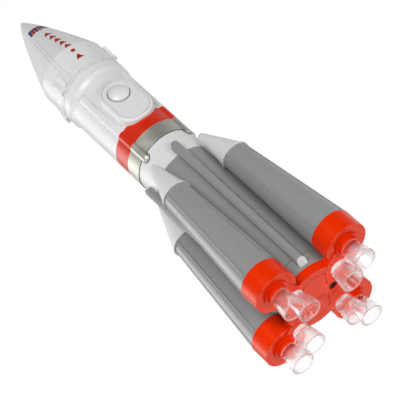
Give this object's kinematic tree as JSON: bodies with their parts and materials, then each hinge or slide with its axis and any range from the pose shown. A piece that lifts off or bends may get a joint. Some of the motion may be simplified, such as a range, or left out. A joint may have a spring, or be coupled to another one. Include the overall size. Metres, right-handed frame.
{
  "type": "model rocket",
  "caption": "Upright toy launch rocket: pointed white fairing, push button, grey core tube with tapered boosters, orange base with clear nozzles and a battery cover.",
  "frame": {"origin": "middle of the standing surface, on the rocket's axis, in the plane of the nozzle mouths", "axes": "+Z along the rocket's axis toward the nose; the push button and the hatch face -Y; the boosters stand on the diagonals"},
  "size_m": [0.076, 0.076, 0.31],
  "materials": {
    "white_plastic": "semi-gloss moulded white",
    "grey_plastic": "satin moulded grey",
    "orange_plastic": "semi-gloss orange-red",
    "clear_plastic": "clear polished polystyrene",
    "black_plastic": "matte black",
    "green_board": "solder-masked board",
    "screw_steel": "zinc-plated",
    "dark_steel": "black-oxide steel",
    "led_plastic": "tinted clear lens",
    "cell_wrap": "printed cell wrap, no marks"
  },
  "bodies": {
    "rocket": {"nose_fairing": "white_plastic", "fairing_latches": "white_plastic", "separation_ring": "white_plastic", "upper_body": "white_plastic", "hatch_plate": "white_plastic", "tact_switch": "black_plastic", "circuit_board": "green_board", "board_screws": "screw_steel", "speaker": "black_plastic", "interstage": "white_plastic", "core_tube": "grey_plastic", "core_sleeve": "grey_plastic", "raceway_front": "grey_plastic", "raceway_right": "grey_plastic", "raceway_back": "grey_plastic", "raceway_left": "grey_plastic", "booster_a": "grey_plastic", "booster_b": "grey_plastic", "booster_c": "grey_plastic", "booster_d": "grey_plastic", "booster_nose_a": "white_plastic", "booster_nose_b": "white_plastic", "booster_nose_c": "white_plastic", "booster_nose_d": "white_plastic", "base_moulding": "orange_plastic", "nozzle_pair_a": "clear_plastic", "nozzle_pair_b": "clear_plastic", "nozzle_pair_c": "clear_plastic", "nozzle_pair_d": "clear_plastic", "nozzle_leds": "led_plastic", "battery_box": "white_plastic", "battery_cells": "cell_wrap", "battery_contacts": "screw_steel"},
    "button": {"button_cap": "white_plastic", "switch_plunger": "black_plastic"},
    "cover": {"battery_cover": "orange_plastic", "cover_contact": "screw_steel"},
    "screw": {"cover_screw": "dark_steel"}
  },
  "joints": [
    {"name": "button_press", "type": "slide", "parent": "rocket", "child": "button", "axis": [0, 1, 0], "range_m": [0, 0.0014], "stiffness_N_per_m": 900, "springref_m": -0.0008},
    {"name": "cover_lift_off", "type": "slide", "parent": "rocket", "child": "cover", "axis": [0, 0, -1], "range_m": [0, 0.04]},
    {"name": "cover_screw_turn", "type": "hinge", "parent": "cover", "child": "screw", "pos_m": [0.0117, 0, 0.0166], "axis": [0, 0, 1], "continuous": true}
  ]
}
